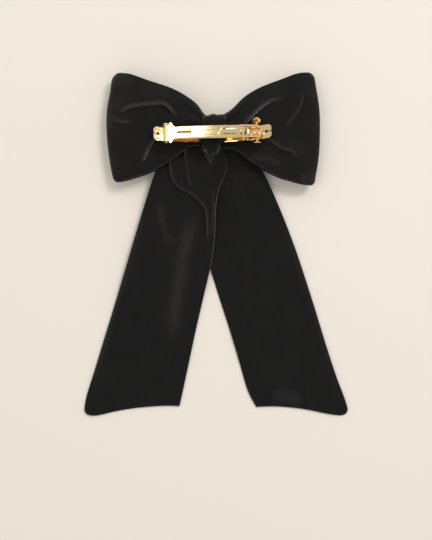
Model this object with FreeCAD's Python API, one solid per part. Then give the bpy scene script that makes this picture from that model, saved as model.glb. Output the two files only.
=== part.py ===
import FreeCAD, Part
import math
import os

# A velvet hair bow with long tails, lying front down, so that the barrette on its back faces up.
# Millimetres. X runs along the barrette, Y from the tails' ends to the loops' tops, Z up from the
# surface that the bow lies on. The origin is under the middle of the bow's footprint.

V = FreeCAD.Vector

# ---- driving dimensions -----------------------------------------------------------------------
KNOT_X, KNOT_Y = -1.8, 76.4      # middle of the pinched centre
CLOTH = 1.6                      # two layers of velvet with their fused interlining
LAYER_GAP = 0.35                 # room between cloth layers that lie on each other
LOOP_HEIGHT = 16.6               # top of a loop's back layer above the surface
FOLD_Z = 8.6                     # height of a loop's outer fold

PINCH_HALF_Y = 12.2               # half height of the gathered cloth inside the band
WRAP_WIDTH = 17.4                # the band round the knot, along X
WRAP_HALF_Y = 14.6               # its half height, along Y
WRAP_CLOTH = 1.3
WRAP_TOP = 22.6
ROOM = 0.4                       # clearance that the tails keep from the band

CLIP_X, CLIP_Y, CLIP_Z = -2.3, 74.4, 17.4   # middle of the base plate's underside
CLIP_TILT, CLIP_TURN = -16.0, 1.2           # about the clip's length, then about Z
CLIP_LENGTH, CLIP_WIDTH = 80.0, 10.0
BASE_RADIUS = 110.0              # the base's arch, ends away from the bow
SHEET = 0.55                     # thickness of the clip's sheet brass
BASE_WALL = 1.5
BASE_WALL_X = (-26.6, 25.3)
BAR_WIDTH, BAR_WALL = 9.4, 1.1
BAR_MID_Z, BAR_END_Z = 9.0, 7.7  # the clasp bar's top, at mid span and above the hinge
HINGE_X = -31.5
PIN_RADIUS, PIN_LENGTH = 0.6, 14.2
KNUCKLE_RADIUS = 1.45
RUNNING_GAP = 0.05               # radial clearance of the knuckle on its pin
WINDOW_X = (21.6, 32.8)          # the opening in the clasp bar's end, for the catch
WINDOW_HALF = 3.45
CATCH_X = 24.2                   # where the catch's arms flex
EAR_X, EAR_Y, EAR_RADIUS = 30.2, 7.9, 2.8
EAR_SPLAY = 25.0                 # the ears lean outwards by this much
KNUCKLE_HALF = 5.9
LUG_Y = (6.05, 6.6)              # each hinge lug's thickness, beside the knuckle

BAR_RADIUS = (HINGE_X ** 2 + (BAR_MID_Z - BAR_END_Z) ** 2) / (2 * (BAR_MID_Z - BAR_END_Z))
BAR_CENTRE_Z = BAR_MID_Z - BAR_RADIUS


# ---- helpers ----------------------------------------------------------------------------------
def spline(points):
    """One smooth edge through points of equal dimension."""
    curve = Part.BSplineCurve()
    curve.interpolate([V(*p) for p in points])
    return curve.toShape()


def closed_face(*sides):
    """A face bounded by smooth sides, each a list of points that starts where the last one ended."""
    return Part.Face(Part.Wire([spline(side) for side in sides]))


def flat(points, z=0.0):
    """Plan points lifted to one height."""
    return [(x, y, z) for x, y in points]


def prism(points, z0, z1):
    """A straight-sided solid over a plan polygon."""
    corners = [V(x, y, z0) for x, y in points]
    return Part.Face(Part.makePolygon(corners + corners[:1])).extrude(V(0, 0, z1 - z0))


def box(x, y, z):
    """A box from pairs of limits."""
    return Part.makeBox(x[1] - x[0], y[1] - y[0], z[1] - z[0], V(x[0], y[0], z[0]))


def stadium(x, width, z, y=0.0):
    """A round-ended slot or rib along X."""
    r = width / 2
    ends = [Part.makeCylinder(r, z[1] - z[0], V(px, y, z[0])) for px in (x[0] + r, x[1] - r)]
    return box((x[0] + r, x[1] - r), (y - r, y + r), z).fuse(ends).removeSplitter()


def slab_between(plan, profile, axis):
    """The part of a plan outline's column that lies inside a side profile run along an axis."""
    column = plan.extrude(V(0, 0, 60))
    return column.common(profile.extrude(axis))


# ---- cloth ------------------------------------------------------------------------------------
def loop(side, top, outer, bottom, tip):
    """A band of velvet folded back on itself: open above and below, pinched at the knot.

    side is -1 or 1; top, outer and bottom are plan outlines that run away from the knot, down
    the fold and back; tip is how far the fold reaches along X."""
    inner_x = KNOT_X + side * 0.2
    start, end = (inner_x, KNOT_Y + PINCH_HALF_Y), (inner_x, KNOT_Y - PINCH_HALF_Y)
    plan = closed_face(flat([start] + top), flat([top[-1]] + outer), flat([outer[-1]] + bottom),
                       flat([bottom[-1], end]), flat([end, start]))
    run = tip - KNOT_X

    def at(share, z):
        return (KNOT_X + run * share, KNOT_Y - 60, z)

    x_start = inner_x
    skin = [(x_start, KNOT_Y - 60, 14.6), at(0.12, 14.9), at(0.34, LOOP_HEIGHT), at(0.6, LOOP_HEIGHT),
            at(0.84, 14.2), at(0.995, FOLD_Z), at(0.86, 2.2), at(0.6, 0.1), at(0.34, 0.05), at(0.12, 2.2),
            (x_start, KNOT_Y - 60, 2.4)]
    lining = [(x_start, KNOT_Y - 60, 4.6), at(0.12, 4.1), at(0.34, CLOTH + 0.2), at(0.6, CLOTH + 0.2),
              at(0.84, 3.6), at(0.965, FOLD_Z), at(0.83, 12.4), at(0.6, LOOP_HEIGHT - CLOTH),
              at(0.34, LOOP_HEIGHT - CLOTH), at(0.12, 12.4), (x_start, KNOT_Y - 60, 11.4)]
    profile = closed_face(skin, [skin[-1], lining[0]], lining, [lining[-1], skin[0]])
    return slab_between(plan, profile, V(0, 120, 0))


def loop_left():
    top = [(-11.4, 89.4), (-14.6, 96.4), (-24.5, 104.6), (-40.5, 111.5), (-59.7, 118.4), (-66.5, 119.7)]
    outer = [(-71.8, 116.6), (-75.4, 100.0), (-76.4, 85.7), (-75.4, 70.0), (-72.3, 48.0), (-69.0, 44.2)]
    bottom = [(-62.0, 45.4), (-49.8, 48.4), (-33.0, 56.8), (-18.6, 64.2), (-11.2, 64.2)]
    return loop(-1, top, outer, bottom, -76.4)


def loop_right():
    top = [(7.6, 89.2), (11.4, 95.0), (19.0, 101.9), (34.5, 111.0), (55.0, 118.6), (62.5, 120.1)]
    outer = [(68.0, 116.8), (71.0, 102.0), (72.4, 85.7), (71.9, 66.0), (69.2, 46.0), (65.5, 41.9)]
    bottom = [(57.9, 43.1), (43.0, 47.4), (30.0, 54.2), (15.0, 63.4), (7.4, 64.2)]
    return loop(1, top, outer, bottom, 72.4)


def tail(sides, lift):
    """A flat velvet ribbon that comes out of the band, turns down and lies on the surface.

    sides are plan outlines, each a list of points; lift raises the ribbon where it crosses the other."""
    plan = closed_face(*[flat(side) for side in sides])
    x, rest_y, end_y = -110, -60.0, -130.0
    upper = [(x, 96.0, 6.9 + lift), (x, 66.0, 6.9 + lift), (x, 40.0, 4.6 + lift), (x, 10.0, 1.9 + lift),
             (x, -20.0, CLOTH + lift), (x, rest_y, CLOTH)]
    lower = [(px, y, z - CLOTH) for px, y, z in reversed(upper)]
    end = [(x, end_y, CLOTH), (x, end_y, 0)]
    profile = closed_face(upper, [upper[-1], end[0]], end, [end[1], lower[0]], lower, [lower[-1], upper[0]])
    ribbon = slab_between(plan, profile, V(220, 0, 0))
    band_wall = box((KNOT_X - WRAP_WIDTH / 2 - ROOM, KNOT_X + WRAP_WIDTH / 2 + ROOM),
                    (KNOT_Y - WRAP_HALF_Y - ROOM, KNOT_Y - PINCH_HALF_Y), (-1, 20))
    return ribbon.cut(band_wall)


def tail_left():
    root = [(-2.2, 64.4), (-2.2, 87.5)], [(-2.2, 87.5), (-12.6, 87.5)]
    outer = [(-12.6, 87.5), (-26.0, 70.0), (-37.0, 60.5), (-43.3, 52.0), (-58.8, 3.9), (-78.8, -63.8),
             (-92.6, -111.5)]
    corner = [outer[-1], (-92.6, -117.6), (-87.8, -120.2)]
    hem = [corner[-1], (-74.4, -118.2), (-55.0, -114.6), (-25.7, -113.5)]
    inner = [hem[-1], (-15.0, -63.8), (-3.6, -14.0), (-0.6, 12.0), (2.0, 38.6), (5.6, 47.5),
             (7.6, 56.0), (4.6, 61.6)]
    return tail([*root, outer, corner, hem, inner, [inner[-1], root[0][0]]], CLOTH + LAYER_GAP)


def tail_right():
    root = [(-1.4, 64.4), (-1.4, 87.5)], [(-1.4, 87.5), (9.2, 87.5)]
    outer = [(9.2, 87.5), (21.0, 68.0), (30.6, 56.6), (36.6, 46.0), (53.3, 3.9), (75.3, -63.8),
             (93.0, -113.6)]
    corner = [outer[-1], (92.6, -118.4), (88.0, -120.2)]
    hem = [corner[-1], (65.4, -116.3), (50.0, -114.2), (28.5, -114.1)]
    inner = [hem[-1], (9.2, -58.5), (-4.0, -16.7), (-12.0, 12.0), (-15.0, 40.0), (-11.0, 56.0), (-6.0, 61.6)]
    return tail([*root, outer, corner, hem, inner, [inner[-1], root[0][0]]], 0.0)


def rounded_ring(half_y, z0, z1, radius, thickness, width, x_mid):
    """A closed band along X, round a rounded rectangle in the YZ plane."""
    def block(inset):
        y = (KNOT_Y - half_y + inset, KNOT_Y + half_y - inset)
        solid = box((x_mid - width / 2, x_mid + width / 2), y, (z0 + inset, z1 - inset))
        long_edges = [e for e in solid.Edges if abs(e.tangentAt(e.FirstParameter).x) > 0.99]
        return solid.makeFillet(radius - inset, long_edges)

    return block(0.0).cut(block(thickness))


def knot_wrap():
    """The velvet band round the pinched centre, which also goes over the barrette's base."""
    return rounded_ring(WRAP_HALF_Y, 0.05, WRAP_TOP, 2.3, WRAP_CLOTH, WRAP_WIDTH, KNOT_X)


def gather_thread():
    """Turns of strong thread that draw the centre in, under the wrap."""
    turns = [rounded_ring(12.9, 1.75, 15.3, 0.7, 0.45, 0.45, KNOT_X + dx) for dx in (-2.0, 0.0, 2.0)]
    return Part.makeCompound(turns)


def wrap_stitches():
    """Hand stitches that close the wrap's end on its lower side."""
    y = KNOT_Y - WRAP_HALF_Y - 0.5
    places = ((-5.2, 12.4), (-4.1, 11.6), (-3.0, 10.8))
    stitches = [Part.makeSphere(0.5, V(KNOT_X + dx, y, z)) for dx, z in places]
    return Part.makeCompound(stitches)


# ---- barrette, in its own frame: X along it, Y across, Z away from the bow ------------------------
def arch(section, centre_z, radius, x0, x1):
    """A section drawn at X = 0 and swept round an arc whose axis lies across the clip."""
    a0, a1 = (math.degrees(math.asin(x / radius)) for x in (x0, x1))
    turn = -1 if centre_z > 0 else 1
    axis, middle = V(0, 1, 0), V(0, 0, centre_z)
    start = section.copy()
    start.rotate(middle, axis, turn * a0)
    return start.revolve(middle, axis, turn * (a1 - a0))


def channel_section(half, wall, corner, z, opening):
    """A channel's section with rounded corners; opening is 1 for open upwards, -1 for downwards."""
    t, s = SHEET, math.sqrt(0.5)

    def p(y, h):
        return V(0, y, z + opening * h)

    def bend(y_sign, radius, ends):
        mid = p(y_sign * (half - corner + radius * s), corner - radius * s)
        return Part.Arc(ends[0], mid, ends[1]).toShape()

    def line(a, b):
        return Part.makeLine(a, b)

    inner = corner - t
    edges = [
        line(p(-half, wall), p(-half, corner)),
        bend(-1, corner, (p(-half, corner), p(-half + corner, 0))),
        line(p(-half + corner, 0), p(half - corner, 0)),
        bend(1, corner, (p(half - corner, 0), p(half, corner))),
        line(p(half, corner), p(half, wall)),
        line(p(half, wall), p(half - t, wall)),
        line(p(half - t, wall), p(half - t, corner)),
        bend(1, inner, (p(half - t, corner), p(half - corner, t))),
        line(p(half - corner, t), p(-half + corner, t)),
        bend(-1, inner, (p(-half + corner, t), p(-half + t, corner))),
        line(p(-half + t, corner), p(-half + t, wall)),
        line(p(-half + t, wall), p(-half, wall)),
    ]
    return Part.Face(Part.Wire(edges))


def strip_section(half, z0, z1):
    """A flat strip's section."""
    corners = [V(0, -half, z0), V(0, half, z0), V(0, half, z1), V(0, -half, z1)]
    return Part.Face(Part.makePolygon(corners + corners[:1]))


def base_z(x):
    """Height of the base plate's underside."""
    return BASE_RADIUS - math.sqrt(BASE_RADIUS ** 2 - x * x)


def bar_z(x):
    """Height of the clasp bar's top."""
    return BAR_CENTRE_Z + math.sqrt(BAR_RADIUS ** 2 - x * x)


PIN_Z = bar_z(HINGE_X) - SHEET - 0.35


def clip_base():
    """The arched plate that the wrap holds, with keyhole tabs and two lugs for the hinge pin."""
    half = CLIP_WIDTH / 2
    end = CLIP_LENGTH / 2
    walls = arch(channel_section(half, BASE_WALL, 0.9, 0.0, 1), BASE_RADIUS, BASE_RADIUS, *BASE_WALL_X)
    plate = strip_section(half, 0.0, SHEET)
    body = walls.fuse([arch(plate, BASE_RADIUS, BASE_RADIUS, -end - 1, BASE_WALL_X[0]),
                       arch(plate, BASE_RADIUS, BASE_RADIUS, BASE_WALL_X[1], end + 1)])
    chamfer = 1.6
    outline = [(-end, -half + chamfer), (-end + chamfer, -half - 0.1), (end - chamfer, -half - 0.1),
               (end, -half + chamfer), (end, half - chamfer), (end - chamfer, half + 0.1),
               (-end + chamfer, half + 0.1), (-end, half - chamfer)]
    body = body.common(prism(outline, -2, 20))
    for x, outwards in ((-37.1, -1), (36.6, 1)):
        body = body.cut(Part.makeCylinder(1.0, 20, V(x, 0, -2)))
        body = body.cut(box(sorted((x, outwards * (end + 2))), (-0.3, 0.3), (-2, 20)))
    lug_x = (HINGE_X - 2.2, HINGE_X + 2.2)
    wings = arch(strip_section(LUG_Y[1], 0.0, SHEET), BASE_RADIUS, BASE_RADIUS, *lug_x)
    for sign in (-1, 1):
        y = sorted(sign * limit for limit in LUG_Y)
        lug = box(lug_x, y, (base_z(lug_x[1]) + SHEET / 2, PIN_Z))
        head = Part.makeCylinder(2.2, LUG_Y[1] - LUG_Y[0], V(HINGE_X, y[0], PIN_Z), V(0, 1, 0))
        body = body.fuse([wings, lug, head])
    bore = Part.makeCylinder(PIN_RADIUS, PIN_LENGTH, V(HINGE_X, -PIN_LENGTH / 2, PIN_Z), V(0, 1, 0))
    return body.cut([bore, rivet_body()]).removeSplitter()


def hinge_pin():
    """A plain pin, with slightly domed ends outside the lugs."""
    pin = Part.makeCylinder(PIN_RADIUS, PIN_LENGTH, V(HINGE_X, -PIN_LENGTH / 2, PIN_Z), V(0, 1, 0))
    ends = [e for e in pin.Edges if e.Curve.TypeId == "Part::GeomCircle"]
    return pin.makeFillet(0.2, ends)


def clasp_arch(section, x0, x1):
    """A section swept along the clasp bar's own shallow arch."""
    return arch(section, BAR_CENTRE_Z, BAR_RADIUS, x0, x1)


def clasp_bar():
    """The bar that closes over the hair: knuckle, slot, ribs, tongue and the window for the catch."""
    half, end_x = BAR_WIDTH / 2, 34.2
    shoulder_x, rolled_x, frame_x, shoulder_half = -29.2, -26.0, 18.4, 7.3
    low, high = BAR_MID_Z - 5, BAR_MID_Z + 3

    def strip(half_width):
        return strip_section(half_width, BAR_MID_Z - SHEET, BAR_MID_Z)

    knuckle = Part.makeCylinder(KNUCKLE_RADIUS, 2 * KNUCKLE_HALF, V(HINGE_X, -KNUCKLE_HALF, PIN_Z),
                                V(0, 1, 0))
    body = clasp_arch(channel_section(half, BAR_WALL, 0.85, BAR_MID_Z, -1), rolled_x, frame_x)
    body = body.fuse([clasp_arch(strip(half), frame_x, end_x), knuckle,
                      clasp_arch(strip(shoulder_half), shoulder_x, rolled_x),
                      clasp_arch(strip(KNUCKLE_HALF), HINGE_X, shoulder_x)])
    tip = Part.makeCylinder(half, high - low, V(end_x - half, 0, low))
    body = body.common(box((HINGE_X - 4, end_x - half), (-8, 8), (low, high)).fuse(tip))
    corner = prism([(rolled_x - 0.6, half), (rolled_x + 1, half), (rolled_x + 1, 8), (rolled_x - 2.4, 8)],
                   low, high)

    window = stadium(WINDOW_X, 2 * WINDOW_HALF, (low, high))
    square_end = box((WINDOW_X[0], WINDOW_X[1] - WINDOW_HALF), (-WINDOW_HALF, WINDOW_HALF), (low, high))
    bore = Part.makeCylinder(PIN_RADIUS + RUNNING_GAP, 20, V(HINGE_X, -10, PIN_Z), V(0, 1, 0))
    cuts = [corner, corner.mirror(V(0, 0, 0), V(0, 1, 0)), window, square_end, bore]
    cuts += [stadium((-24.3, -14.0), 2.4, (low, high)), box((19.0, 19.8), (-3.0, 3.0), (low, high))]
    cuts += [stadium((7.2, 16.0), 0.7, (low, high), y) for y in (-1.9, 1.9)]
    body = body.cut(cuts)
    raised = clasp_arch(strip_section(half, BAR_MID_Z - 0.1, BAR_MID_Z + 0.42), -12, 7)
    ribs = [raised.common(stadium((-11.3, 3.6), 1.5, (low, high), y)) for y in (-1.75, 1.75)]
    cross = [(2.9, -2.3), (3.6, -2.3), (6.4, 2.3), (5.7, 2.3)]
    ribs += [raised.common(prism([(x, sign * y) for x, y in cross], low, high)) for sign in (-1, 1)]
    return body.fuse(ribs).removeSplitter()


def tension_bar():
    """The leaf spring that presses the hair; its ends lie close under the clasp bar."""
    x0, x1, sag, thickness, end_top = -22.4, 12.6, 0.8, 0.4, 7.6
    mid, half_span = (x0 + x1) / 2, (x1 - x0) / 2
    radius = (half_span ** 2 + sag ** 2) / (2 * sag)
    low = end_top - sag
    strip = arch(strip_section(1.9, low - thickness, low), radius + low, radius, -half_span, half_span)
    strip.translate(V(mid, 0, 0))
    return strip


FOOT_Z = base_z(CATCH_X + 7.5) + SHEET       # the catch's foot, clear of the arched base at its far end


def rivet_body():
    """The rivet's shank and its head on the catch's foot."""
    x, bottom = CATCH_X + 3.4, base_z(CATCH_X + 3.4)
    shank = Part.makeCylinder(0.7, FOOT_Z + 0.5 - bottom, V(x, 0, bottom))
    return shank.fuse(Part.makeCylinder(1.05, 0.45, V(x, 0, FOOT_Z + 0.5)))


def catch_bracket():
    """The foot that the catch's arms stand on, with a rounded boss and a flat bridge, riveted down."""
    foot = box((CATCH_X - 0.6, CATCH_X + 7.4), (-3.3, 3.3), (FOOT_Z, FOOT_Z + 0.5))
    boss = Part.makeCylinder(2.1, 4.0, V(CATCH_X + 0.2, -2.0, FOOT_Z + 0.1), V(0, 1, 0))
    boss = boss.common(box((CATCH_X - 3, CATCH_X + 3), (-3, 3), (FOOT_Z + 0.2, FOOT_Z + 5)))
    bridge = box((CATCH_X + 4.7, CATCH_X + 7.0), (-1.2, 1.2), (FOOT_Z + 0.5, FOOT_Z + 2.2))
    stand = box((CATCH_X + 1.4, CATCH_X + 5.4), (-1.8, 1.8), (FOOT_Z - 2.2, FOOT_Z))
    plate = arch(strip_section(30, -3.0, SHEET), BASE_RADIUS, BASE_RADIUS, CATCH_X - 5, CATCH_X + 10)
    return foot.fuse([boss, bridge, stand]).cut([plate, rivet_body()]).removeSplitter()


def catch_arm(sign):
    """A springy arm with a hook for the clasp's window and a round ear for the thumb."""
    z0 = FOOT_Z + 0.6
    top, inner_y, thickness = bar_z(CATCH_X + 6) + 1.1, 2.35, 0.45
    outer_y = inner_y + thickness
    foot = box((CATCH_X, CATCH_X + 6.9), (inner_y, outer_y), (z0, z0 + 0.9))
    leaf = box((CATCH_X, CATCH_X + 4.6), (inner_y, outer_y), (z0, top))
    hook = box((CATCH_X + 2.4, CATCH_X + 4.6), (outer_y, WINDOW_HALF - 0.25), (top - 0.5, top))
    stem = box((EAR_X - 0.7, EAR_X + 0.7), (outer_y, EAR_Y), (z0, z0 + 0.8))
    disc = Part.makeCylinder(EAR_RADIUS, 0.7, V(EAR_X, EAR_Y - 0.35, z0 + 1.0), V(0, 1, 0))
    disc = disc.makeFillet(0.3, [e for e in disc.Edges if e.Curve.TypeId == "Part::GeomCircle"])
    disc.rotate(V(EAR_X, EAR_Y, z0 + 1.0), V(1, 0, 0), -EAR_SPLAY)
    arm = leaf.fuse([foot, hook, stem, disc])
    if sign < 0:
        arm = arm.mirror(V(0, 0, 0), V(0, 1, 0))
    return arm.removeSplitter()


# ---- assembly ---------------------------------------------------------------------------------
def place_clip(shape):
    """Tilt the barrette about its length, turn it a little and set it on the bow's back."""
    shape = shape.copy()
    shape.rotate(V(0, 0, 0), V(1, 0, 0), CLIP_TILT)
    shape.rotate(V(0, 0, 0), V(0, 0, 1), CLIP_TURN)
    shape.translate(V(CLIP_X, CLIP_Y, CLIP_Z))
    return shape


def clip_frame(point, direction=False):
    """A point or a direction of the barrette's frame, in the bow's."""
    vector = FreeCAD.Rotation(V(1, 0, 0), CLIP_TILT).multVec(V(*point))
    vector = FreeCAD.Rotation(V(0, 0, 1), CLIP_TURN).multVec(vector)
    return vector if direction else vector + V(CLIP_X, CLIP_Y, CLIP_Z)


nodes = {
    "loop_left": loop_left(),
    "loop_right": loop_right(),
    "tail_left": tail_left(),
    "tail_right": tail_right(),
    "knot_wrap": knot_wrap(),
    "gather_thread": gather_thread(),
    "wrap_stitches": wrap_stitches(),
    "clip_base": place_clip(clip_base()),
    "hinge_pin": place_clip(hinge_pin()),
    "clasp_bar": place_clip(clasp_bar()),
    "tension_bar": place_clip(tension_bar()),
    "catch_bracket": place_clip(catch_bracket()),
    "catch_rivet": place_clip(rivet_body()),
    "catch_arm_upper": place_clip(catch_arm(1)),
    "catch_arm_lower": place_clip(catch_arm(-1)),
}

bounds = Part.makeCompound(list(nodes.values())).optimalBoundingBox(False)
shift = V(-bounds.Center.x, -bounds.Center.y, -bounds.ZMin)

os.makedirs("parts", exist_ok=True)
for name, shape in nodes.items():
    shape.translate(shift)
    shape.exportStep(f"parts/{name}.step")
    print(f"{name:16s} valid {shape.isValid()} solids {len(shape.Solids)} volume {shape.Volume:9.1f} mm3")

print("size", round(bounds.XLength, 2), round(bounds.YLength, 2), round(bounds.ZLength, 2), "shift", shift)
print("hinge", clip_frame((HINGE_X, 0, PIN_Z)) + shift, "axis", clip_frame((0, -1, 0), True))
for label, y in (("upper", 2.6), ("lower", -2.6)):
    print("catch", label, clip_frame((CATCH_X, y, 6.0)) + shift, "axis", clip_frame((0, 0, 1), True))
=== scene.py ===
import math

import bpy
import numpy as np
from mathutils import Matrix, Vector


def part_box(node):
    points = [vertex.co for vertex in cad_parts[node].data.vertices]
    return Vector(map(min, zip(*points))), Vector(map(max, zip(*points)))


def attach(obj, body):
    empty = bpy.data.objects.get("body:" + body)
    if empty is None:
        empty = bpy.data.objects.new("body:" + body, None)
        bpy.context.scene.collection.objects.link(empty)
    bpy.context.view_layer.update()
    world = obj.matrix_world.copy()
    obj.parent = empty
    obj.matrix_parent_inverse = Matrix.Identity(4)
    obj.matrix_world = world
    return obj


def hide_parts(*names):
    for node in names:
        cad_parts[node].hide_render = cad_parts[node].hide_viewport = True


# A black velvet bow, front down, with its gold barrette facing up. Cloth shapes are worked out in
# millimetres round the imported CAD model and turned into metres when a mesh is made.

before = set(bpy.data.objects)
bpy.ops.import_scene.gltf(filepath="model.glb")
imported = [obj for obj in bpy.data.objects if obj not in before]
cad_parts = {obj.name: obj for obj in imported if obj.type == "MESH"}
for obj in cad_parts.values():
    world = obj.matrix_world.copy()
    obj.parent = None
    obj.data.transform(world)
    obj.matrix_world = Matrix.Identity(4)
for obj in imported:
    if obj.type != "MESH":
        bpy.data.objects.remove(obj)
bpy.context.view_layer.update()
MM = 0.001


def mm_box(node):
    """A CAD node's corners in millimetres."""
    low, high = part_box(node)
    return np.array(low) / MM, np.array(high) / MM


WRAP_LOW, WRAP_HIGH = mm_box("knot_wrap")
KNOT = (WRAP_LOW + WRAP_HIGH) / 2

LOOP_CLOTH = 1.7          # thickness of the lined velvet
TAIL_CLOTH = 1.5
WRAP_CLOTH = 1.4
TAB_CLOTH = 0.5           # the satin lining alone
LOOP_REACH = 73.0         # from the knot to the loop's fold
LOOP_BACK_Z, LOOP_FOLD_Z, LOOP_FRONT_Z = 16.6, 8.4, 0.9     # middle heights of a loop's layers and fold
PINCH = 11.6              # half height of the gathered cloth at the knot
FLOOR_CLEARANCE = 0.02    # cloth that lies on the surface stays this far above it
FLOOR_Z = -0.02


# ---- shape helpers ----------------------------------------------------------------------------
def through(points):
    """A smooth curve through points, as a function of 0 to 1 along it (a natural cubic spline)."""
    pts = np.array(points, float)
    knots = np.concatenate([[0.0], np.cumsum(np.linalg.norm(np.diff(pts, axis=0), axis=1))])
    knots /= knots[-1]
    n = len(pts)
    if n == 2:
        return lambda t: pts[0] + np.asarray(t)[..., None] * (pts[1] - pts[0])
    h = np.diff(knots)
    system, right = np.eye(n), np.zeros_like(pts)
    for i in range(1, n - 1):
        system[i, i - 1:i + 2] = h[i - 1], 2 * (h[i - 1] + h[i]), h[i]
        right[i] = 6 * ((pts[i + 1] - pts[i]) / h[i] - (pts[i] - pts[i - 1]) / h[i - 1])
    bend = np.linalg.solve(system, right)

    def at(t):
        t = np.clip(np.asarray(t, float), 0, 1)
        i = np.clip(np.searchsorted(knots, t, side="right") - 1, 0, n - 2)
        a, b = (knots[i + 1] - t)[..., None], (t - knots[i])[..., None]
        w = h[i][..., None]
        return (bend[i] * a ** 3 + bend[i + 1] * b ** 3) / (6 * w) + \
            (pts[i] / w - bend[i] * w / 6) * a + (pts[i + 1] / w - bend[i + 1] * w / 6) * b

    return at


def patch(bottom, top, inner, outer, u, v):
    """Plan points of a four-sided patch at u along it and v across it (a Coons patch)."""
    uu, vv = u[..., None], v[..., None]
    zero, one = np.zeros_like(u), np.ones_like(u)
    sides = (1 - vv) * bottom(u) + vv * top(u) + (1 - uu) * inner(v) + uu * outer(v)
    near, far = ((1 - vv) * edge(zero) + vv * edge(one) for edge in (inner, outer))
    return sides - (1 - uu) * near - uu * far


def smooth(x):
    x = np.clip(x, 0, 1)
    return x * x * (3 - 2 * x)


def line_distance(x, y, points):
    """Distance from each (x, y) to a polyline, its sign (left of it is positive) and how far along it is."""
    pts = np.array(points, float)
    lengths = np.linalg.norm(np.diff(pts, axis=0), axis=1)
    total, best = lengths.sum(), np.full(x.shape, 1e9)
    sign, along, start = np.ones(x.shape), np.zeros(x.shape), 0.0
    for a, b, length in zip(pts, pts[1:], lengths):
        d = (b - a) / length
        raw = (x - a[0]) * d[0] + (y - a[1]) * d[1]
        t = np.clip(raw, 0, length)
        px, py = x - a[0] - t * d[0], y - a[1] - t * d[1]
        dist = np.hypot(px, py)
        near = dist < best
        best = np.where(near, dist, best)
        sign = np.where(near, np.sign(d[0] * py - d[1] * px), sign)
        along = np.where(near, (start + t) / total, along)
        start += length
    return best, sign, along


class Folds:
    """Folds over plan points: the height they add, and the painted sheen highlight, a paler pile colour, that
    they lay along their crests.
    """

    def __init__(self, x, y):
        self.x, self.y = x, y
        self.height, self.painted_sheen = np.zeros_like(x), np.zeros_like(x)

    def crease(self, points, height, width, fade=0.25, shine=0.0):
        """A soft ridge (or valley, if height is negative) along a polyline, fading out at both ends. shine is
        how strong a painted sheen highlight it gets.
        """
        dist, _, along = line_distance(self.x, self.y, points)
        shape = np.exp(-(dist / width) ** 2) * smooth(along / fade) * smooth((1 - along) / fade)
        self.height += height * shape
        # painted highlight: a paler pile colour along the ridge, standing in for sheen
        self.painted_sheen += shine * shape

    def tuck(self, points, height, under=0.0, lip=0.9, reach=7.0, fade=0.2, shine=0.6):
        """A tucked fold: a lip along a smooth line, the upper layer on its left falling off over reach,
        and a hollow of depth under beside it. It fades out at both ends, and shine paints a sheen highlight
        on its lip."""
        dist, sign, along = line_distance(self.x, self.y, through(points)(np.linspace(0, 1, 40)))
        side = dist * sign
        ends = smooth(along / fade) * smooth((1 - along) / fade)
        upper = height * smooth(0.5 + side / lip) * np.exp(-(np.maximum(side, 0) / reach) ** 2)
        hollow = under * np.exp(-((side + 2.4) / (2.2 + 1.5 * (side < -2.4))) ** 2) * (side < lip)
        self.height += (upper - hollow) * ends
        # painted highlight: a paler pile colour along the lip's crest, standing in for sheen
        self.painted_sheen += shine * np.exp(-((side - 0.2) / 0.8) ** 2) * ends


def ripple(x, y, scale, seed):
    """Smooth, seeded unevenness between about -1 and 1."""
    rng = np.random.default_rng(seed)
    total = np.zeros_like(x)
    for _ in range(7):
        angle, phase, size = rng.uniform(0, 2 * math.pi), rng.uniform(0, 2 * math.pi), rng.uniform(0.7, 1.6)
        k = 2 * math.pi / (scale * size)
        total += np.sin(k * (x * math.cos(angle) + y * math.sin(angle)) + phase)
    return total / 3.2


def edge_distances(grid):
    """How far each grid point is from the grid's four borders, measured along its lines."""
    step_u = np.linalg.norm(np.diff(grid, axis=0), axis=2)
    step_v = np.linalg.norm(np.diff(grid, axis=1), axis=2)
    from_u0 = np.concatenate([np.zeros((1, grid.shape[1])), np.cumsum(step_u, axis=0)])
    from_v0 = np.concatenate([np.zeros((grid.shape[0], 1)), np.cumsum(step_v, axis=1)], axis=1)
    return from_u0, from_u0[-1:] - from_u0, from_v0, from_v0[:, -1:] - from_v0


def normals(grid):
    n = np.cross(np.gradient(grid, axis=0), np.gradient(grid, axis=1))
    return n / np.maximum(np.linalg.norm(n, axis=2, keepdims=True), 1e-9)


def make_mesh(name, verts, faces, material, levels=0, painted_sheen=None):
    """A smooth mesh object from points in millimetres, with an optional painted sheen highlight amount at
    each point.
    """
    mesh = bpy.data.meshes.new(name)
    mesh.from_pydata((np.asarray(verts) * MM).tolist(), [], faces)
    mesh.validate()
    obj = bpy.data.objects.new(name, mesh)
    bpy.context.scene.collection.objects.link(obj)
    mesh.polygons.foreach_set("use_smooth", [True] * len(mesh.polygons))
    mesh.materials.append(material)
    if painted_sheen is not None:
        # the painted sheen highlight goes on as a point attribute that the velvet material reads
        mesh.attributes.new("painted_sheen", "FLOAT", "POINT").data.foreach_set("value", painted_sheen.astype(np.float32))
    if levels:
        sub = obj.modifiers.new("smooth", "SUBSURF")
        sub.levels = sub.render_levels = levels
    return obj


def turned_edge(nearest, thickness, roll):
    """Thickness by distance from a turned seam: rounded off over roll, full where the seam allowance
    lies inside, and a little less beyond it."""
    share = np.clip(nearest / roll, 0, 1)
    allowance = 0.28 * np.exp(-((nearest - 1.3) / 1.3) ** 2) + 0.16 * smooth((6.5 - nearest) / 1.6)
    return (thickness + allowance) * np.sqrt(1 - (1 - share) ** 2)


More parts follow.
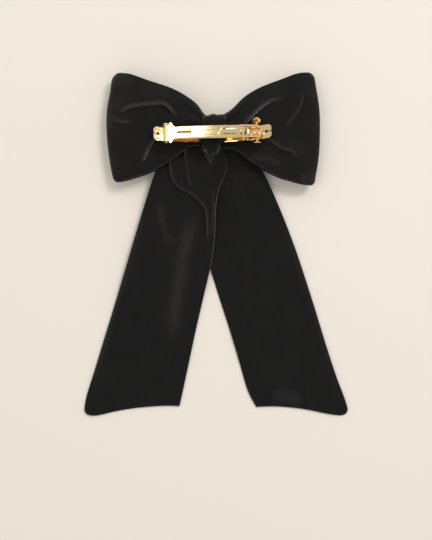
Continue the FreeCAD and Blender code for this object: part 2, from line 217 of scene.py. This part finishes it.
def cloth(name, grid, thickness, roll, material, painted_sheen=None):
    """A closed, double cloth round a grid of middle points, with turned seams at its borders. Where
    it would dip below the surface it lies flat on it."""
    d = edge_distances(grid)
    nearest = np.minimum(np.minimum(d[0], d[1]), np.minimum(d[2], d[3]))
    thick = turned_edge(nearest, thickness, roll)
    n = normals(grid) * thick[..., None] / 2
    nu, nv = grid.shape[:2]
    front = np.arange(nu * nv).reshape(nu, nv)
    back = front.copy()
    inside = np.zeros((nu, nv), bool)
    inside[1:-1, 1:-1] = True
    back[inside] = nu * nv + np.arange(inside.sum())
    verts = np.concatenate([(grid + n).reshape(-1, 3), (grid - n)[inside]])
    verts[:, 2] = np.maximum(verts[:, 2], FLOOR_CLEARANCE)
    faces = []
    for i in range(nu - 1):
        for j in range(nv - 1):
            faces.append((front[i, j], front[i + 1, j], front[i + 1, j + 1], front[i, j + 1]))
            faces.append((back[i, j], back[i, j + 1], back[i + 1, j + 1], back[i + 1, j]))
    # painted sheen highlight amounts for both layers' points; none if no folds give any
    sheen_paint = np.zeros((nu, nv)) if painted_sheen is None else painted_sheen
    return make_mesh(name, verts, [tuple(int(k) for k in f) for f in faces], material,
                     painted_sheen=np.concatenate([sheen_paint.reshape(-1), sheen_paint[inside]]))


def crowded(n):
    """Values from 0 to 1, closer together at both ends, where seams round off."""
    t = np.linspace(0, 1, n)
    return 0.55 * t + 0.45 * (0.5 - 0.5 * np.cos(math.pi * t))


# ---- materials --------------------------------------------------------------------------------
def new_material(name):
    material = bpy.data.materials.new(name)
    material.use_nodes = True
    tree = material.node_tree
    return material, tree, tree.nodes["Principled BSDF"]


def add_node(tree, kind, **values):
    node = tree.nodes.new(kind)
    for key, value in values.items():
        if key in node.inputs:
            node.inputs[key].default_value = value
        else:
            setattr(node, key, value)
    return node


def add_fleck(tree, noise):
    """A noise stretched to run from about 0.55 to 1.45, as single fibres catch the light."""
    fleck = add_node(tree, "ShaderNodeMapRange")
    fleck.inputs["From Min"].default_value, fleck.inputs["From Max"].default_value = 0.35, 0.65
    fleck.inputs["To Min"].default_value, fleck.inputs["To Max"].default_value = 0.55, 1.45
    tree.links.new(noise.outputs["Fac"], fleck.inputs["Value"])
    return fleck.outputs["Result"]


def velvet_material(name, shade, sheen=1.0):
    """Short pile: nap that leans in patches, a fine grain of fibres, a grey-brown sheen, and a painted
    sheen highlight: a paler, flecked tone where the mesh's attribute asks for it."""
    material, tree, shader = new_material(name)
    link = tree.links.new
    place = add_node(tree, "ShaderNodeTexCoord")
    nap = add_node(tree, "ShaderNodeTexNoise", Scale=70.0, Detail=3.0, Roughness=0.55, Distortion=0.6)
    pile = add_node(tree, "ShaderNodeTexNoise", Scale=2600.0, Detail=2.0, Roughness=0.7)
    rows = add_node(tree, "ShaderNodeTexNoise", Scale=420.0, Detail=3.0, Roughness=0.6)
    for node in (nap, pile, rows):
        link(place.outputs["Object"], node.inputs["Vector"])
    tones = add_node(tree, "ShaderNodeValToRGB")
    tones.color_ramp.elements[0].position, tones.color_ramp.elements[1].position = 0.32, 0.72
    tones.color_ramp.elements[0].color = (*[0.72 * c for c in shade], 1)
    tones.color_ramp.elements[1].color = (*[1.4 * c for c in shade], 1)
    mix = add_node(tree, "ShaderNodeMix", data_type="FLOAT")
    mix.inputs[0].default_value = 0.45
    link(nap.outputs["Fac"], mix.inputs[2])
    link(pile.outputs["Fac"], mix.inputs[3])
    link(mix.outputs[0], tones.inputs["Fac"])
    # painted highlight: the mesh's painted sheen amount, broken up by fibre flecks, mixes the base colour
    # towards 7.5 times the pile shade
    sheen_paint = add_node(tree, "ShaderNodeAttribute", attribute_name="painted_sheen")
    speckle = add_node(tree, "ShaderNodeMath", operation="MULTIPLY", use_clamp=True)
    link(sheen_paint.outputs["Fac"], speckle.inputs[0])
    link(add_fleck(tree, pile), speckle.inputs[1])
    lit = add_node(tree, "ShaderNodeMix", data_type="RGBA")
    lit.inputs[7].default_value = (*[7.5 * c for c in shade], 1)
    link(speckle.outputs[0], lit.inputs[0])
    link(tones.outputs["Color"], lit.inputs[6])
    link(lit.outputs[2], shader.inputs["Base Color"])
    grain = add_node(tree, "ShaderNodeBump", Strength=0.55, Distance=0.00018)
    lean = add_node(tree, "ShaderNodeBump", Strength=0.35, Distance=0.0006)
    link(rows.outputs["Fac"], lean.inputs["Height"])
    link(pile.outputs["Fac"], grain.inputs["Height"])
    link(lean.outputs["Normal"], grain.inputs["Normal"])
    link(grain.outputs["Normal"], shader.inputs["Normal"])
    shader.inputs["Roughness"].default_value = 0.85
    shader.inputs["Specular IOR Level"].default_value = 0.12
    shader.inputs["Sheen Weight"].default_value = sheen
    shader.inputs["Sheen Roughness"].default_value = 0.36
    shader.inputs["Sheen Tint"].default_value = (0.80, 0.76, 0.74, 1)
    return material


def gold_material(name, colour, roughness):
    """Bright plated sheet: faint drawing marks along it, small stains and softly worn high spots."""
    material, tree, shader = new_material(name)
    link = tree.links.new
    place = add_node(tree, "ShaderNodeTexCoord")
    stretch = add_node(tree, "ShaderNodeMapping")
    stretch.inputs["Scale"].default_value = (28.0, 620.0, 620.0)
    lines = add_node(tree, "ShaderNodeTexNoise", Scale=1.0, Detail=3.0, Roughness=0.6)
    stains = add_node(tree, "ShaderNodeTexNoise", Scale=160.0, Detail=4.0, Roughness=0.6)
    link(place.outputs["Object"], stretch.inputs["Vector"])
    link(stretch.outputs["Vector"], lines.inputs["Vector"])
    link(place.outputs["Object"], stains.inputs["Vector"])
    tones = add_node(tree, "ShaderNodeValToRGB")
    tones.color_ramp.elements[0].position, tones.color_ramp.elements[1].position = 0.3, 0.7
    tones.color_ramp.elements[0].color = (colour[0] * 0.93, colour[1] * 0.86, colour[2] * 0.74, 1)
    tones.color_ramp.elements[1].color = (*colour, 1)
    link(stains.outputs["Fac"], tones.inputs["Fac"])
    link(tones.outputs["Color"], shader.inputs["Base Color"])
    gloss = add_node(tree, "ShaderNodeMapRange")
    gloss.inputs["To Min"].default_value = roughness * 0.7
    gloss.inputs["To Max"].default_value = roughness * 1.5
    link(stains.outputs["Fac"], gloss.inputs["Value"])
    link(gloss.outputs["Result"], shader.inputs["Roughness"])
    marks = add_node(tree, "ShaderNodeBump", Strength=0.5, Distance=0.00012)
    link(lines.outputs["Fac"], marks.inputs["Height"])
    link(marks.outputs["Normal"], shader.inputs["Normal"])
    shader.inputs["Metallic"].default_value = 1.0
    return material


def thread_material():
    """Twisted thread."""
    material, tree, shader = new_material("thread")
    link = tree.links.new
    place = add_node(tree, "ShaderNodeTexCoord")
    twist = add_node(tree, "ShaderNodeTexWave", Scale=900.0, Distortion=1.5, Detail=1.0)
    link(place.outputs["Object"], twist.inputs["Vector"])
    tones = add_node(tree, "ShaderNodeValToRGB")
    tones.color_ramp.elements[0].color = (0.04, 0.038, 0.035, 1)
    tones.color_ramp.elements[1].color = (0.16, 0.15, 0.14, 1)
    link(twist.outputs["Fac"], tones.inputs["Fac"])
    link(tones.outputs["Color"], shader.inputs["Base Color"])
    bump = add_node(tree, "ShaderNodeBump", Strength=0.5, Distance=0.0001)
    link(twist.outputs["Fac"], bump.inputs["Height"])
    link(bump.outputs["Normal"], shader.inputs["Normal"])
    shader.inputs["Roughness"].default_value = 0.55
    return material


BLACK_PILE, OLIVE_SATIN = (0.0074, 0.0069, 0.0069), (0.021, 0.019, 0.010)

VELVET = velvet_material("velvet_black", BLACK_PILE)
VELVET_TAUT = velvet_material("velvet_taut", BLACK_PILE, 0.35)
GOLD = gold_material("gold_bright", (0.94, 0.73, 0.42), 0.10)
GOLD_SPRING = gold_material("gold_spring", (0.92, 0.64, 0.29), 0.13)
THREAD = thread_material()
LINING = velvet_material("lining_olive", OLIVE_SATIN)


# ---- loops ------------------------------------------------------------------------------------
def loop_profile(back, fold_z, front):
    """From the knot out over the back layer, round the fold and in again on the front layer, as a
    curve of (way out, height)."""
    points = [(0.0, back - 4.2), (0.1, back - 3.0), (0.3, back - 0.9), (0.55, back - 0.4),
              (0.78, back - 1.8), (0.93, back - 4.2), (1.0, fold_z), (0.93, front + 3.2),
              (0.78, front + 1.4), (0.55, front + 0.3), (0.3, front + 0.5), (0.1, front + 2.2),
              (0.0, front + 3.2)]
    return through([(share * LOOP_REACH, z) for share, z in points])


def loop(side, bottom, top, inner, outer, back_marks, front_seed):
    """A folded velvet loop with the gathers that run out from the knot and the creases it lies in.

    bottom, top, inner and outer are its outline, and back_marks adds its back layer's own folds."""
    along = np.concatenate([np.linspace(0, 0.5, 190, endpoint=False), np.linspace(0.5, 1, 80)])
    across = crowded(172)
    profile = loop_profile(LOOP_BACK_Z, LOOP_FOLD_Z, LOOP_FRONT_Z)(along)
    u = np.repeat(profile[:, :1] / LOOP_REACH, len(across), axis=1)
    z = np.repeat(profile[:, 1:], len(across), axis=1)
    v = np.repeat(across[None, :], len(along), axis=0)
    plan = patch(through(bottom), through(top), through(inner), through(outer), np.clip(u, 0, 1), v)
    x, y = plan[..., 0], plan[..., 1]
    is_back = smooth((0.52 - along) / 0.04)[:, None]
    is_front = 1 - is_back
    lip = np.abs(2 * v - 1) ** 5
    z = z - 2.6 * lip * is_back * smooth((1 - u) / 0.25) + 1.2 * lip * is_front * smooth((1 - u) / 0.25)
    gathers = np.exp(-(u / 0.26) ** 2) * np.sin(2 * math.pi * (3.4 * v + 0.15) + 1.8 * u)
    folds = back_marks(Folds(x, y))
    z = z + is_back * (1.25 * gathers + folds.height)
    front_gathers = np.exp(-(u / 0.4) ** 2) * np.sin(2 * math.pi * (2.6 * v + 0.3) - 1.2 * u)
    z = z + is_front * (1.0 * front_gathers + 0.5) * smooth(u / 0.08)
    z = z + 0.35 * ripple(x, y, 26.0, front_seed) * (1 - lip)
    above = z - LOOP_CLOTH / 2 - 0.12
    z = z - above / 2 + np.hypot(above, 0.7) / 2
    # only the back layer gets its folds' painted sheen highlights
    obj = cloth("velvet_loop_" + side, np.stack([x, y, z], axis=2), LOOP_CLOTH, 1.5, VELVET,
                is_back * folds.painted_sheen)
    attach(obj, "bow")
    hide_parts("loop_" + side)


def left_marks(folds):
    """The left loop's back: a tuck from the fold to the knot over a deep pocket, and smaller creases, with
    painted sheen highlights along their lips and crests.
    """
    folds.tuck([(-68, 90.5), (-65.5, 92.3), (-59.3, 95.4), (-52.4, 96.6), (-45.5, 97.1), (-40, 97.5),
                (-35.8, 97.4), (-32.4, 95), (-29.6, 92.0), (-26, 88.6)], 2.4, 1.1, 1.0, 9.0, 0.16, 0.9)
    folds.tuck([(-73, 86.4), (-64.8, 85.4), (-57.5, 83.4)], 1.2, 0.3, 1.1, 4.0, 0.3, 0.5)
    folds.tuck([(-51.0, 56.5), (-48.9, 61.3), (-46.2, 66.8), (-43.4, 71.6), (-40, 76)], 1.5, 0.3, 0.8, 6.0)
    folds.crease([(-20, 70), (-34, 66), (-46, 60)], -1.1, 3.0)
    # painted sheen highlights: a paler band over a low ridge at the top corner, and a paler line along the
    # outer edge with no fold under it
    folds.crease([(-73, 112), (-66, 116), (-56, 116)], 0.6, 6.0, shine=0.16)
    folds.crease([(-74, 76), (-75, 90), (-73, 102)], 0.0, 3.5, shine=0.14)
    return folds


def right_marks(folds):
    """The right loop's back: tucks that fan out above and below the barrette's catch, with painted sheen
    highlights along their lips and on two low ridges.
    """
    folds.tuck([(16, 82), (22.4, 86.5), (26.9, 91.3), (32.4, 96.1), (37.9, 99.2), (43.4, 100.2), (47, 100.2)],
               2.1, 0.7, 0.9, 7.0, shine=0.7)
    folds.tuck([(44.0, 77.5), (46.9, 80.6), (50.3, 84.7), (54.5, 90.2), (58.6, 97.8), (60.3, 104), (61, 108)],
               1.1, 0.2, 1.8, 5.0, 0.3, 0.2)
    folds.tuck([(33, 74), (39.3, 70.9), (43.4, 67.9), (47.6, 66.1), (51.7, 65.1), (54.5, 62.3), (57, 59)],
               2.0, 0.8, 1.3, 6.0, 0.25, 0.5)
    folds.crease([(22, 62), (27, 60.6), (37.9, 58.5), (46, 55)], 0.8, 2.0, shine=0.15)
    folds.crease([(56, 47), (64, 46), (68.5, 52)], 0.3, 3.5, shine=0.16)
    return folds


INNER = [(KNOT[0], KNOT[1] - PINCH), (KNOT[0], KNOT[1] + PINCH)]

loop(
    "left",
    [INNER[0], (-8.6, 68.2), (-15.2, 69.2), (-23.5, 64.8), (-31.2, 59.0), (-41.7, 52.8), (-52.5, 48.4),
     (-66.9, 44.6)],
    [INNER[1], (-8.4, 90.6), (-11.9, 95.6), (-19.3, 102.2), (-30.6, 108.3), (-48.2, 114.6), (-60.0, 118.6),
     (-67.6, 119.5)],
    INNER,
    [(-66.9, 44.6), (-69.9, 45.3), (-71.6, 49.0), (-73.3, 58.0), (-75.1, 73.0), (-75.7, 86.0), (-74.8, 98.0),
     (-72.7, 109.5), (-70.9, 116.8), (-67.6, 119.5)],
    left_marks, 11)
loop(
    "right",
    [INNER[0], (5.0, 67.2), (12.6, 66.6), (21.8, 59.8), (29.0, 55.4), (38.5, 49.9), (52.0, 44.9),
     (64.6, 42.4)],
    [INNER[1], (6.2, 90.8), (10.4, 93.4), (17.8, 100.8), (30.2, 108.7), (47.5, 115.8), (58.0, 119.3),
     (64.2, 119.8)],
    INNER,
    [(64.6, 42.4), (67.2, 43.0), (68.5, 46.4), (70.6, 58.9), (71.6, 74.0), (71.7, 88.0), (70.5, 102.0),
     (68.6, 113.0), (67.1, 117.8), (64.2, 119.8)],
    right_marks, 23)


# ---- tails ------------------------------------------------------------------------------------
REST_Y = -60.0            # from here to the hem the tails lie flat


def tail_height(y, lift):
    """Middle height of a tail: it comes down from the knot, raised by lift there, and lies flat
    further on."""
    points = through([(89.0, 7.4), (66.0, 7.5), (52.0, 6.2), (38.0, 4.0), (10.0, 1.6), (-20.0, 0.85),
                      (REST_Y, 0.82), (-130.0, 0.82)])
    ts = np.linspace(0, 1, 400)
    curve = points(ts)
    base = np.interp(-y, -curve[:, 0], curve[:, 1])
    return base + lift * smooth((y - REST_Y) / 45.0)


def tail(side, left_edge, right_edge, top, hem, lift, marks, seed):
    """A long velvet ribbon, wider at its slanted, hollowed end, with a turned seam all round."""
    along, across = crowded(320), crowded(104)
    u, v = np.meshgrid(along, across, indexing="ij")
    plan = patch(through(left_edge), through(right_edge), through(top), through(hem), u, v)
    x, y = plan[..., 0], plan[..., 1]
    near = np.exp(-((y - 66) / 24.0) ** 2) * (y > 0)
    z = tail_height(y, lift)
    z = z + 0.8 * near * np.sin(2 * math.pi * 2.6 * v + seed)
    folds = marks(Folds(x, y))
    z = z + folds.height + 0.3 * ripple(x, y, 42.0, seed) + 0.14 * ripple(x, y, 15.0, seed + 1)
    z = np.maximum(z, TAIL_CLOTH / 2 + 0.04)
    # the tail carries its folds' painted sheen highlights
    obj = cloth("velvet_tail_" + side, np.stack([x, y, z], axis=2), TAIL_CLOTH, 1.7, VELVET, folds.painted_sheen)
    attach(obj, "bow")
    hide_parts("tail_" + side)


def left_tail_marks(folds):
    """The flap that folds over itself below the knot, the pleat beside it, and the long soft rolls, each with
    a painted sheen highlight along it.
    """
    folds.tuck([(-25.1, 67), (-31.4, 59.0), (-31.6, 55.2), (-30.7, 50.3), (-26.3, 41.2), (-21.6, 38.5),
                (-16.2, 35.7), (-11.8, 31.8), (-7.7, 27.3), (-6.3, 22.4), (-5.6, 12.0), (-5.2, 0.1)],
               2.2, 1.3, 1.1, 11.0, 0.12, 0.24)
    folds.tuck([(-20.2, 70), (-20.8, 62), (-20.4, 55), (-18.5, 44.2), (-16, 38)],
               1.7, 1.3, 1.3, 7.0, shine=0.2)
    folds.tuck([(-2.6, 44), (-2.0, 32), (-2.2, 18), (-3.4, 4)], 0.5, 0.4, 1.0, 3.0, 0.3, 0.2)
    # painted sheen band: a paler strip down the long roll from the knot
    folds.crease([(-14, 26), (-18.0, 12.0), (-22.0, -2), (-26.4, -28), (-29.5, -48), (-31.5, -72)],
                 1.3, 4.6, shine=0.24)
    folds.crease([(-40, 34), (-38.9, 21.3), (-35.1, 6.6), (-30.9, 1.6), (-27, -1)], 1.0, 2.4, shine=0.14)
    folds.crease([(-50, 30), (-66, -24), (-80, -70), (-89, -102)], 0.3, 2.6, 0.15, 0.2)
    return folds


def right_tail_marks(folds):
    """A deep valley beside a roll, where the ribbon leaves the knot, a lift near the hem and a faint long
    ridge; the last two carry painted sheen highlights.
    """
    folds.crease([(8, 68), (11.2, 59.4), (18.9, 45.5), (25.5, 30.5), (28.8, 14.3), (31, -4)], -2.3, 3.4)
    folds.crease([(20, 62), (28.0, 48.0), (35.5, 30), (42, 8)], 0.9, 3.6)
    folds.crease([(38, -104), (50.5, -107.4), (62, -109)], 0.7, 4.5, shine=0.15)
    folds.crease([(46, 20), (66, -36), (86, -100)], 0.2, 2.2, 0.2, 0.1)
    return folds


tail(
    "left",
    [(-14.5, 78.0), (-27.0, 68.0), (-38.0, 59.5), (-42.6, 51.0), (-47.4, 37.5), (-57.8, 3.9), (-67.9, -30.0),
     (-78.3, -63.8), (-88.8, -97.7), (-92.3, -110.5), (-92.9, -116.0)],
    [(0.5, 66.5), (5.6, 63.2), (7.8, 56.5), (5.6, 47.5), (2.0, 39.2), (0.2, 30.0), (-0.6, 12.0),
     (-3.6, -14.0), (-7.2, -30.0), (-15.0, -63.8), (-22.2, -97.7), (-25.7, -113.5)],
    [(-14.5, 78.0), (-6.0, 73.5), (0.5, 66.5)],
    [(-92.9, -116.0), (-91.6, -118.7), (-88.4, -120.1), (-83.0, -119.9), (-74.4, -118.0), (-62.1, -115.6),
     (-47.3, -113.9), (-33.7, -113.2), (-25.7, -113.5)],
    2.15, left_tail_marks, 3)
tail(
    "right",
    [(-2.0, 64.0), (-10.5, 60.0), (-14.8, 40.0), (-12.0, 12.0), (-4.0, -16.7), (2.6, -38.0), (9.2, -58.5),
     (18.3, -89.2), (24.0, -106.2), (28.5, -114.1)],
    [(11.0, 77.0), (21.5, 68.0), (30.0, 57.0), (36.0, 46.0), (43.7, 29.1), (53.8, 3.9), (65.3, -30.0),
     (75.8, -63.8), (87.0, -97.7), (91.5, -109.8), (93.0, -115.0)],
    [(-2.0, 64.0), (5.0, 72.0), (11.0, 77.0)],
    [(28.5, -114.1), (39.0, -113.7), (50.0, -114.2), (65.4, -116.2), (78.0, -118.8), (85.2, -119.9),
     (90.0, -119.7), (92.4, -118.0), (93.0, -115.0)],
    0.0, right_tail_marks, 8)


# ---- knot -------------------------------------------------------------------------------------
def knot_wrap():
    """The velvet band round the knot: a slanted ring with soft lengthwise folds, whose lower end
    narrows towards the tails."""
    around, across = np.linspace(0, 1, 161), crowded(40)
    a, v = np.meshgrid(around * 2 * math.pi, across, indexing="ij")
    half_y = (WRAP_HIGH[1] - WRAP_LOW[1]) / 2 - WRAP_CLOTH / 2
    half_z = (WRAP_HIGH[2] - WRAP_LOW[2]) / 2 - WRAP_CLOTH / 2
    corner = 2.45
    c, s = np.cos(a), np.sin(a)
    reach = (np.abs(c / half_y) ** corner + np.abs(s / half_z) ** corner) ** (-1 / corner)
    pleats = 0.34 * np.sin(2 * math.pi * (2.7 * v + 0.1) + 0.8 * np.sin(a)) - 2.2 * np.abs(2 * v - 1) ** 3
    reach = reach + pleats - 0.4
    y, z = KNOT[1] + reach * c, KNOT[2] + reach * s
    low_end = smooth((-c - 0.35) / 0.6) * smooth((s + 0.35) / 0.5)
    y = y + 2.6 * low_end * np.abs(2 * v - 1) ** 2
    slant = 0.115
    x = KNOT[0] - 0.3 + slant * (y - KNOT[1]) + (v - 0.5) * (17.2 - 1.4 * np.abs(s) - 5.0 * low_end)
    grid = np.stack([x, y, z], axis=2)
    grid[-1] = grid[0]
    obj = ring_cloth("velvet_knot_wrap", grid, WRAP_CLOTH, 1.9)
    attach(obj, "bow")
    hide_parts("knot_wrap")
    trims = [lining_tab(),
             stitch("stitch_long", [(-7.6, 65.9, 19.6), (-7.1, 64.9, 19.2), (-6.5, 63.9, 18.3)]),
             stitch("stitch_short", [(-8.1, 64.3, 18.9), (-7.2, 64.6, 19.2), (-6.4, 65.4, 19.6)])]


def lining_tab():
    """The wrap's folded end: a small point of its satin lining that shows under its lower edge."""
    u, v = np.meshgrid(np.linspace(0, 1, 24), crowded(16), indexing="ij")
    half = 3.9 * (1 - u) ** 0.85 + 0.25
    x = KNOT[0] - 1.9 - 0.4 * u + (2 * v - 1) * half
    y = WRAP_LOW[1] + 3.2 - 8.0 * u
    z = 12.4 - 1.1 * u + 0.7 * np.abs(2 * v - 1) * (1 - u)
    obj = cloth("lining_tab", np.stack([x, y, z], axis=2), TAB_CLOTH, 0.4, LINING)
    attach(obj, "bow")
    return obj


def stitch(name, points, radius=0.24):
    """A short round strand of sewing thread."""
    line, sides = through(points)(np.linspace(0, 1, 9)), 8
    along = np.gradient(line, axis=0)
    side = np.cross(along, (0.0, 0.0, 1.0))
    side /= np.linalg.norm(side, axis=1, keepdims=True)
    up = np.cross(side, along)
    up /= np.linalg.norm(up, axis=1, keepdims=True)
    turns = np.arange(sides) * 2 * math.pi / sides
    outward = np.cos(turns)[:, None] * side[:, None] + np.sin(turns)[:, None] * up[:, None]
    rings = line[:, None] + radius * outward
    faces = [tuple(range(sides))[::-1], tuple(range((len(line) - 1) * sides, len(line) * sides))]
    for i in range(len(line) - 1):
        faces += [(i * sides + j, i * sides + (j + 1) % sides, (i + 1) * sides + (j + 1) % sides,
                   (i + 1) * sides + j) for j in range(sides)]
    obj = make_mesh(name, rings.reshape(-1, 3), faces, THREAD)
    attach(obj, "bow")
    return obj


def ring_cloth(name, grid, thickness, roll):
    """Like cloth, for a grid whose first and last rows are the same."""
    wrapped = np.concatenate([grid[-2:-1], grid, grid[1:2]])
    n = normals(wrapped)[1:-1]
    d = edge_distances(grid)
    share = np.clip(np.minimum(d[2], d[3]) / roll, 0, 1)
    n = n * (thickness * np.sqrt(1 - (1 - share) ** 2))[..., None] / 2
    grid, n = grid[:-1], n[:-1]
    nu, nv = grid.shape[:2]
    front = np.arange(nu * nv).reshape(nu, nv)
    back = front.copy()
    back[:, 1:-1] = nu * nv + np.arange(nu * (nv - 2)).reshape(nu, nv - 2)
    verts = np.concatenate([(grid + n).reshape(-1, 3), (grid - n)[:, 1:-1].reshape(-1, 3)])
    faces = []
    for i in range(nu):
        k = (i + 1) % nu
        for j in range(nv - 1):
            faces.append((front[i, j], front[k, j], front[k, j + 1], front[i, j + 1]))
            faces.append((back[i, j], back[i, j + 1], back[k, j + 1], back[k, j]))
    return make_mesh(name, verts, [tuple(int(q) for q in f) for f in faces], VELVET_TAUT, 1)


knot_wrap()


# ---- barrette and thread: the CAD parts, with their finishes ---------------------------------------
FINISHES = {
    "clip_base": GOLD, "hinge_pin": GOLD, "clasp_bar": GOLD, "catch_bracket": GOLD, "catch_rivet": GOLD,
    "tension_bar": GOLD_SPRING, "catch_arm_upper": GOLD_SPRING, "catch_arm_lower": GOLD_SPRING,
    "gather_thread": THREAD, "wrap_stitches": THREAD,
}
for node, material in FINISHES.items():
    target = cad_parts[node]
    target.data.materials.clear()
    target.data.materials.append(material)


# ---- stage, light and camera --------------------------------------------------------------------
def floor():
    material, _, shader = new_material("backdrop")
    shader.inputs["Base Color"].default_value = (0.85, 0.79, 0.70, 1)
    shader.inputs["Roughness"].default_value = 0.95
    shader.inputs["Specular IOR Level"].default_value = 0.05
    half = 1400
    corners = [(x, y, FLOOR_Z) for x, y in ((-half, -half), (half, -half), (half, half), (-half, half))]
    obj = make_mesh("floor", corners, [(0, 1, 2, 3)], material)


def area_light(name, place, target, size, power, colour=(1, 1, 1)):
    data = bpy.data.lights.new(name, "AREA")
    data.shape, data.size, data.energy, data.color = "DISK", size, power, colour
    obj = bpy.data.objects.new(name, data)
    bpy.context.scene.collection.objects.link(obj)
    obj.location = place
    obj.rotation_euler = (Vector(target) - Vector(place)).to_track_quat("-Z", "Y").to_euler()


def light():
    area_light("key", (0.85, 0.90, 1.45), (0, 0, 0), 0.7, 15.0)
    area_light("fill", (-0.95, -0.3, 1.3), (0, 0, 0), 1.1, 2.4)
    area_light("panel", (-0.20, 0.87, 0.95), (0, 0.07, 0), 0.26, 0.85)
    world = bpy.data.worlds.new("studio")
    bpy.context.scene.world = world
    world.use_nodes = True
    background = world.node_tree.nodes["Background"]
    background.inputs["Color"].default_value = (1.0, 0.99, 0.97, 1)
    background.inputs["Strength"].default_value = 0.62


def camera():
    """Straight above, a little towards the tails."""
    data = bpy.data.cameras.new("camera")
    data.sensor_width, data.lens = 36.0, 60.35
    obj = bpy.data.objects.new("camera", data)
    bpy.context.scene.collection.objects.link(obj)
    obj.location = (0.0, -0.0173, 0.64)
    obj.rotation_euler = (0, 0, 0)
    bpy.context.scene.camera = obj


floor()
light()
camera()
bpy.context.scene.view_settings.view_transform = "Standard"
